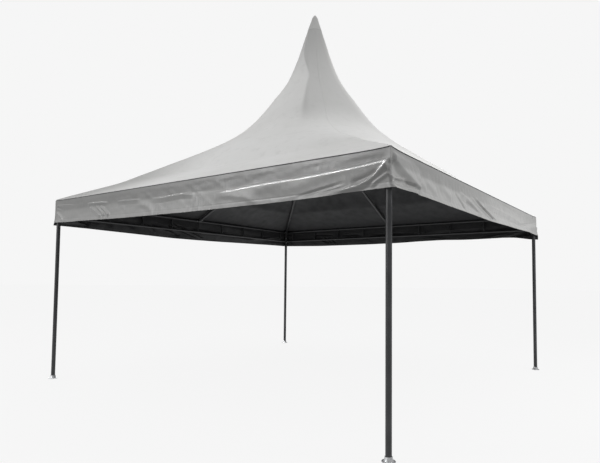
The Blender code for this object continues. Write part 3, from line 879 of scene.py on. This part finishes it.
def make_valances():
    grids = [valance_grid(quarter) for quarter in range(4)]
    made = []
    for quarter, side in enumerate(SIDES):
        place, drop, lift = grids[quarter]
        ends = []
        for column, other in ((0, grids[(quarter - 1) % 4]), (-1, grids[(quarter + 1) % 4])):
            theirs = np.interp(drop[:, column], other[1][::-1, -1 - column], other[2][::-1, -1 - column])
            ends.append(np.maximum(theirs, 0.0)[:, None])
        near = smooth_step((np.abs(place) - (VALANCE_HALF - CORNER_BLEND)) / CORNER_BLEND)
        own = lift * (1 - near) + np.maximum(lift, 0.0) * near
        x = place + np.where(place > 0, 1, -1) * near * np.where(place > 0, ends[1], ends[0])
        x -= np.sign(place) * CORNER_GAP * near
        outer = np.stack([x, -(VALANCE_HALF + own), EAVE_Z - drop], axis=-1)
        inner = outer - outward(outer) * VALANCE_THICKNESS
        made.append(cloth_piece(f"valance_{side}_cloth", ("valance_canvas", "lining"),
                                turned_points(outer, quarter), turned_points(inner, quarter),
                                np.stack([place, -drop], axis=-1)))
    return made


# The edge between the roof and the valances

KEDER_HEIGHT = 0.016
KEDER_DEPTH = 0.006
KEDER_CHAMFER = 0.0012
KEDER_INSET = 0.0045  # of its face behind the valances' plane
KEDER_COLUMNS = 120  # on each side
KEDER_CROWDING = 0.8
KEDER_SHARP_ANGLE = 40.0


def make_eave_keder():
    """The dark welt that the roof and the valances are sewn to, all round the eave: its dark grey paints the
    shadow line under the roof's edge.
    """
    share = crowded(KEDER_COLUMNS, KEDER_CROWDING)
    rings = []
    for depth, up in ((0, 0), (KEDER_CHAMFER, 1), (KEDER_DEPTH, 1), (KEDER_DEPTH, 0)):
        ring = []
        for quarter in range(4):
            z = eave_height(quarter, share) - CANOPY_THICKNESS - GROOVE / 2 + (up - 0.5) * KEDER_HEIGHT
            plane = np.full_like(share, VALANCE_HALF - KEDER_INSET - depth)
            ring.append(turned_points(np.stack([share * plane, -plane, z], axis=-1), quarter))
        rings.append(np.concatenate(ring))
    points = np.concatenate(rings)
    index = np.arange(len(points)).reshape(4, -1)
    following = np.roll(index, -1, axis=1)
    faces = np.concatenate([np.stack([index[a], following[a], following[b], index[b]], axis=-1)
                            for a, b in ((0, 1), (1, 2), (2, 3), (3, 0))])
    x, y, z = points[faces.reshape(-1)].T
    mesh = uv_mesh("eave_keder", points, faces, np.stack([x + y, z], axis=-1))
    smooth_mesh(mesh, KEDER_SHARP_ANGLE)
    return link("eave_keder", mesh, ("trim",))


TAPE_WIDTH = 0.016
TAPE_ROWS = 40
TAPE_SINK = 0.0006
TAPE_LENGTH = 0.33


def outer_grid(valance, columns):
    """Some columns of a valance's outer face, as a grid of points."""
    co = np.empty(len(valance.data.vertices) * 3, np.float32)
    valance.data.vertices.foreach_get("co", co)
    rows = VALANCE_ROWS + 1
    return co.reshape(-1, 3)[:rows * VALANCE_COLUMNS].reshape(rows, -1, 3)[:, columns].astype(float)


def make_corner_tapes(valances):
    """The bound seams where two valances meet at a corner."""
    made = []
    reach = round(TAPE_WIDTH / VALANCE_CELL) + 1
    even = np.linspace(0, 1, VALANCE_ROWS + 1)
    for quarter, corner in enumerate(CORNERS):
        grids = (outer_grid(valances[(quarter - 1) % 4], slice(VALANCE_COLUMNS - reach, None)),
                 outer_grid(valances[quarter], slice(0, reach)))
        low = min(grids[0][0, -1, 2], grids[1][0, 0, 2])
        strips = []
        for grid, edge in zip(grids, (-1, 0)):
            heights = grid[:, edge, 2]
            share = np.interp(np.linspace(max(low, heights[0]), heights[-1], TAPE_ROWS), heights, even)
            strip = [[np.interp(share, even, grid[:, column, axis]) for axis in range(3)]
                     for column in range(reach)]
            strips.append(np.array(strip).transpose(2, 0, 1))
        middle = (strips[0][:, -1:] + strips[1][:, :1]) / 2
        grid = np.concatenate([strips[0][:, :-1], middle, strips[1][:, 1:]], axis=1)
        normal = outward(grid)
        uv = uv_grid(np.linspace(-TAPE_WIDTH, TAPE_WIDTH, grid.shape[1]),
                     np.linspace(0, TAPE_LENGTH, TAPE_ROWS))
        made.append(cloth_piece(f"corner_tape_{corner}", ("valance_canvas", "lining"),
                                grid + normal * strip_raise(grid.shape[1]),
                                grid - normal * TAPE_SINK, uv))
    return made


# Steel fittings

CHORD_SOCKET_RADIUS = 0.022
CHORD_BOLT_OUT = 0.065  # from the leg's axis to the bolt in a chord socket
RAFTER_SOCKET_RADIUS = 0.0255
RAFTER_BOLT_OUT = 0.105
HUB_BOLT_OUT = 0.125
SLEEVE_BOLT_Z = (2.158, 2.245)
CHORD_BOLT = 0.006  # radius, about, of a bolt's washer
SOCKET_BOLT = 0.0065
SADDLE_BOLT = 0.005
SADDLE_BOLT_X = (-0.036, 0.036)
SADDLE_BOLT_IN = (0.025, 0.004)  # inwards and up from the upper chord's axis
SADDLE_TILT = 0.12
BOLT_SHAPES = (  # sides and outline of a washer and a head: radius as a share of the size, height
    (20, ((0, -0.002), (1.25, -0.002), (1.25, 0.0012), (1.1, 0.0016), (0, 0.0016))),
    (6, ((0, 0.001), (0.95, 0.001), (0.95, 0.0046), (0.817, 0.0056), (0, 0.0058))),
)
BOLT_SHARP_ANGLE = 35.0
WELD_SHARP_ANGLE = 80.0
RUNG_WELD = 0.0026
RUNG_WELD_OUT = 0.0008  # from the chord's surface
WELD_LUMPS = (9, 0.22, 0.08)  # lumps round the bead, their size and their unevenness
WELD_FLATNESS = 0.8
WELD_SEED = 5
HUB_PLACE = Vector((0, 0, HUB_Z))
HIP_FOOT = Vector((-HALF_SPAN, -HALF_SPAN, RAFTER_BASE_Z))
MID_FOOT = Vector((0, -HALF_SPAN, RAFTER_BASE_Z))
DOWN = Vector((0, 0, -1))


def placed(at, towards):
    """A frame at a point, its Z axis along a direction."""
    return Matrix.Translation(at) @ Vector(towards).to_track_quat("Z", "Y").to_matrix().to_4x4()


def add_turned(shape, outline, sides, matrix):
    """An outline of (radius, height) spun about the Z axis of a frame; it starts and ends on the axis."""
    rings = []
    for radius, height in outline:
        if radius == 0:
            rings.append([shape.verts.new(matrix @ Vector((0, 0, height)))] * sides)
            continue
        angles = [2 * math.pi * (i + 0.5) / sides for i in range(sides)]
        rings.append([shape.verts.new(matrix @ Vector((radius * math.cos(a), radius * math.sin(a), height)))
                      for a in angles])
    for ring, following in zip(rings, rings[1:]):
        for i in range(sides):
            j = (i + 1) % sides
            corners = list(dict.fromkeys((ring[i], ring[j], following[j], following[i])))
            if len(corners) > 2:
                shape.faces.new(corners)


def add_bolt(shape, at, towards, size):
    """A washer with a chamfer, and on it a hexagon head with its own."""
    for sides, outline in BOLT_SHAPES:
        add_turned(shape, [(size * share, height) for share, height in outline], sides,
                   placed(at, towards))


def add_weld(shape, at, towards, radius, bead, random, sides=20, around=5):
    """A bead of weld round a tube: a lumpy ring."""
    frame_here = placed(at, towards)
    phase = random.uniform(0, 2 * math.pi)
    count, size, unevenness = WELD_LUMPS
    rings = []
    for i in range(sides):
        angle = 2 * math.pi * i / sides
        lump = bead * (1 + size * math.sin(count * angle + phase) + random.uniform(-unevenness, unevenness))
        ring = []
        for j in range(around):
            turn = 2 * math.pi * j / around
            r = radius + lump * math.cos(turn) * WELD_FLATNESS
            ring.append(shape.verts.new(frame_here @ Vector((r * math.cos(angle), r * math.sin(angle),
                                                             lump * math.sin(turn)))))
        rings.append(ring)
    for i in range(sides):
        for j in range(around):
            k, m = (i + 1) % sides, (j + 1) % around
            shape.faces.new((rings[i][j], rings[k][j], rings[k][m], rings[i][m]))


def finish_shape(name, shape, material, angle):
    bmesh.ops.recalc_face_normals(shape, faces=shape.faces)
    mesh = mesh_of(name, shape)
    smooth_mesh(mesh, angle)
    return link(name, mesh, (material,))


def quarter_turn(quarter):
    return Matrix.Rotation(quarter * math.pi / 2, 3, "Z")


def add_rafter_bolt(shape, turn, foot, at_hub=False):
    """The bolt in the lower side of a rafter's socket, at its foot or at the hub."""
    up = (HUB_PLACE - foot).normalized()
    below = (DOWN - up * up.dot(DOWN)).normalized()
    start = HUB_PLACE - up * HUB_BOLT_OUT if at_hub else foot + up * RAFTER_BOLT_OUT
    add_bolt(shape, turn @ (start + below * RAFTER_SOCKET_RADIUS), turn @ below, SOCKET_BOLT)


def make_corner_bolts():
    """The bolts of each corner joint: in its chord sockets, its sleeve and its rafter socket."""
    made = []
    leg = Vector((-HALF_SPAN, -HALF_SPAN, 0))
    ways = (Vector((1, 0, 0)), Vector((0, 1, 0)))
    for quarter, corner in enumerate(CORNERS):
        turn = quarter_turn(quarter)
        shape = bmesh.new()
        for height in (UPPER_CHORD_Z, LOWER_CHORD_Z):
            for along, side in (ways, ways[::-1]):
                at = leg + Vector((0, 0, height)) + along * CHORD_BOLT_OUT + side * CHORD_SOCKET_RADIUS
                add_bolt(shape, turn @ at, turn @ side, CHORD_BOLT)
        inward = Vector((1, 1, 0)).normalized()
        for height in SLEEVE_BOLT_Z:
            at = leg + Vector((0, 0, height)) + inward * SLEEVE_RADIUS
            add_bolt(shape, turn @ at, turn @ inward, SOCKET_BOLT)
        add_rafter_bolt(shape, turn, HIP_FOOT)
        made.append(finish_shape(f"corner_bolts_{corner}", shape, "bolt", BOLT_SHARP_ANGLE))
    return made


def make_frame_welds():
    """The weld beads round the rungs, where they meet the chords."""
    made = []
    random = np.random.default_rng(WELD_SEED)
    for quarter, side in enumerate(SIDES):
        turn = quarter_turn(quarter)
        shape = bmesh.new()
        for step in range(-RUNGS_EACH_SIDE, RUNGS_EACH_SIDE + 1):
            for height, way in ((UPPER_CHORD_Z - CHORD_RADIUS, -1), (LOWER_CHORD_Z + CHORD_RADIUS, 1)):
                at = Vector((step * RUNG_PITCH, -HALF_SPAN, height + way * RUNG_WELD_OUT))
                add_weld(shape, turn @ at, (0, 0, 1), RUNG_RADIUS, RUNG_WELD, random)
        made.append(finish_shape(f"truss_welds_{side}", shape, "frame_paint", WELD_SHARP_ANGLE))
    return made


def make_rafter_bolts():
    """The bolts that hold the rafters in the saddles and in the hub."""
    shape = bmesh.new()
    for quarter in range(4):
        turn = quarter_turn(quarter)
        for foot, at_hub in ((HIP_FOOT, True), (MID_FOOT, True), (MID_FOOT, False)):
            add_rafter_bolt(shape, turn, foot, at_hub)
        for x in SADDLE_BOLT_X:
            at = Vector((x, -HALF_SPAN + SADDLE_BOLT_IN[0], UPPER_CHORD_Z + SADDLE_BOLT_IN[1]))
            add_bolt(shape, turn @ at, turn @ Vector((0, 1, SADDLE_TILT)), SADDLE_BOLT)
    return finish_shape("rafter_bolts", shape, "bolt", BOLT_SHARP_ANGLE)


FOOT_HOLES = 4
FOOT_HOLE_RADIUS = 0.0046
FOOT_HOLE_OUT = 0.0452
FOOT_HOLE_TURN = 0.35  # of every other foot's holes
FOOT_CHAMFER = 0.0012
FOOT_WELD = ((0.0022, 0.0), (0.0008, 0.0012), (-0.0006, 0.0032))  # out of the collar, above the plate
FOOT_SIDES = 64
FOOT_HOLE_SIDES = 24
FOOT_SHARP_ANGLE = 30.0
COLLAR_CHAMFER = 0.0008
COLLAR_GAP = 0.0003  # between the leg and the collar


def make_foot_piece(quarter, corner):
    """The base plate with its anchor holes, its tapered collar and the weld between them."""
    shape = bmesh.new()
    top = FOOT_THICKNESS + COLLAR_HEIGHT
    bore = LEG_RADIUS + COLLAR_GAP
    outline = (
        (0, 0), (FOOT_RADIUS - FOOT_CHAMFER, 0), (FOOT_RADIUS, FOOT_CHAMFER),
        (FOOT_RADIUS, FOOT_THICKNESS - FOOT_CHAMFER), (FOOT_RADIUS - FOOT_CHAMFER, FOOT_THICKNESS),
        *((COLLAR_FOOT_RADIUS + out, FOOT_THICKNESS + up) for out, up in FOOT_WELD),
        (COLLAR_TOP_RADIUS, top - COLLAR_CHAMFER), (COLLAR_TOP_RADIUS - COLLAR_CHAMFER, top),
        (bore, top), (bore, FOOT_THICKNESS), (0, FOOT_THICKNESS),
    )
    add_turned(shape, outline, FOOT_SIDES, Matrix.Identity(4))
    bmesh.ops.recalc_face_normals(shape, faces=shape.faces)
    foot = add_object("foot", mesh_of("foot", shape))
    holes = []
    for i in range(FOOT_HOLES):
        angle = math.pi / 4 + i * 2 * math.pi / FOOT_HOLES + FOOT_HOLE_TURN * (quarter % 2)
        place = (FOOT_HOLE_OUT * math.cos(angle), FOOT_HOLE_OUT * math.sin(angle), 0)
        cut = bmesh.new()
        bmesh.ops.create_cone(cut, cap_ends=True, segments=FOOT_HOLE_SIDES, radius1=FOOT_HOLE_RADIUS,
                              radius2=FOOT_HOLE_RADIUS, depth=4 * FOOT_THICKNESS,
                              matrix=Matrix.Translation(place))
        holes.append(add_object("hole", mesh_of("hole", cut)))
        boolean = foot.modifiers.new("boolean", "BOOLEAN")
        boolean.operation = "DIFFERENCE"
        boolean.solver = "EXACT"
        boolean.object = holes[-1]
    state = bpy.context.evaluated_depsgraph_get()
    mesh = bpy.data.meshes.new_from_object(foot.evaluated_get(state))
    for old in (foot, *holes):
        bpy.data.objects.remove(old)
    mesh.transform(Matrix.Translation(quarter_turn(quarter) @ Vector((-HALF_SPAN, -HALF_SPAN, 0))))
    mesh.materials.clear()
    smooth_mesh(mesh, FOOT_SHARP_ANGLE)
    return link(f"anchor_foot_{corner}", mesh, ("zinc",))


# Floor, light and background

WHITE = (1.0, 1.0, 1.0, 1.0)
BACKGROUND = 0.9216  # linear, of the floor and what is behind it
FLOOR_RADIUS = 90.0
FLOOR_Z = -0.0005
FLOOR_GLOW = 0.885
FLOOR_ALBEDO = 0.04
HORIZON_BAND = (-0.12, 0.10)  # heights in the sky over which its light rises
SKY_BAND = (0.05, 0.95)
GROUND_LIGHT = 0.05  # what comes up from below
HORIZON_LIGHT = 0.30
ZENITH_LIGHT = 0.85
LIGHTS = (  # name, place, target, size, power, and whether it lights and whether it glints
    ("front_soft", (-6.0, -12.5, 6.5), (0, -1.0, 3.2), (6.0, 6.0), 760.0, True, True),
    ("right_soft", (7.2, 1.0, 3.6), (2.5, 0, 2.2), (5.0, 1.2), 320.0, True, False),
    ("gloss_left", (-7.3, -1.4, 10.9), (1.0, -2.5, 2.2), (2.5, 11.0), 3900.0, False, True),
)


def make_floor():
    shape = bmesh.new()
    bmesh.ops.create_circle(shape, cap_ends=True, segments=96, radius=FLOOR_RADIUS)
    mesh = mesh_of("floor", shape)
    material, _, shader = new_material("floor", specular=0.0)
    shader.inputs["Base Color"].default_value = (FLOOR_ALBEDO, FLOOR_ALBEDO, FLOOR_ALBEDO, 1.0)
    shader.inputs["Roughness"].default_value = 1.0
    shader.inputs["Emission Color"].default_value = WHITE
    shader.inputs["Emission Strength"].default_value = FLOOR_GLOW
    mesh.materials.append(material)
    floor = add_object("floor", mesh)
    floor.location.z = FLOOR_Z
    floor.visible_diffuse = False


def make_world():
    """A plain pale background, and a soft sky of light that is brighter overhead than at the horizon."""
    world = bpy.data.worlds.new("studio")
    world.use_nodes = True
    tree = world.node_tree
    tree.nodes.clear()
    height = coordinate(tree, node(tree, "ShaderNodeTexCoord").outputs["Generated"], "Z")
    strength = maths(tree, "ADD", ramp(tree, height, *HORIZON_BAND, GROUND_LIGHT, HORIZON_LIGHT),
                     ramp(tree, height, *SKY_BAND, 0.0, ZENITH_LIGHT - HORIZON_LIGHT))
    seen = node(tree, "ShaderNodeLightPath").outputs["Is Camera Ray"]
    mix = node(tree, "ShaderNodeMixShader", Fac=seen)
    for socket, glow in zip(mix.inputs[1:], (strength, BACKGROUND)):
        tree.links.new(node(tree, "ShaderNodeBackground", Color=WHITE, Strength=glow).outputs[0], socket)
    node(tree, "ShaderNodeOutputWorld", Surface=mix.outputs[0])
    bpy.context.scene.world = world


def make_lights():
    for name, place, target, size, power, diffuse, glossy in LIGHTS:
        data = bpy.data.lights.new(name, "AREA")
        data.shape = "RECTANGLE"
        data.size, data.size_y = size
        data.energy = power
        light = add_object(name, data)
        light.location = place
        light.rotation_mode = "QUATERNION"
        light.rotation_quaternion = (Vector(target) - Vector(place)).to_track_quat("-Z", "Y")
        light.visible_camera = False
        light.visible_diffuse = diffuse
        light.visible_glossy = glossy


FINISHES = (  # of the CAD pieces that stay, by the start of their names
    ("zinc", ("mast_plate",)),
    ("frame_paint", ("leg", "truss", "hip_rafter", "mid_rafter", "mast")),
    ("joint_paint", ("corner_joint", "saddle", "hub")),
)


def dress_frame():
    for name, piece in NODES.items():
        finish = next((made for made, starts in FINISHES if name.startswith(starts)), None)
        if finish:
            for slot in piece.material_slots:
                slot.material = MATERIALS[finish]


def build():
    make_camera()
    canopy = make_canopy()
    seams = make_hip_seams()
    cap = make_crown_cap()
    keder = make_eave_keder()
    valances = make_valances()
    tapes = make_corner_tapes(valances)
    feet = [make_foot_piece(quarter, corner) for quarter, corner in enumerate(CORNERS)]
    fittings = [*make_corner_bolts(), *make_frame_welds(), make_rafter_bolts()]
    for piece in (canopy, seams, cap, keder, *valances, *tapes, *feet, *fittings):
        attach(piece, "root")
    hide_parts("crown", *(f"roof_panel_{side}" for side in SIDES))
    for side, valance in zip(SIDES, valances):
        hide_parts(f"valance_{side}")
    for corner, foot in zip(CORNERS, feet):
        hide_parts(f"foot_plate_{corner}")
    dress_frame()
    make_floor()
    make_world()
    make_lights()
    bpy.context.scene.view_settings.view_transform = "Standard"


build()
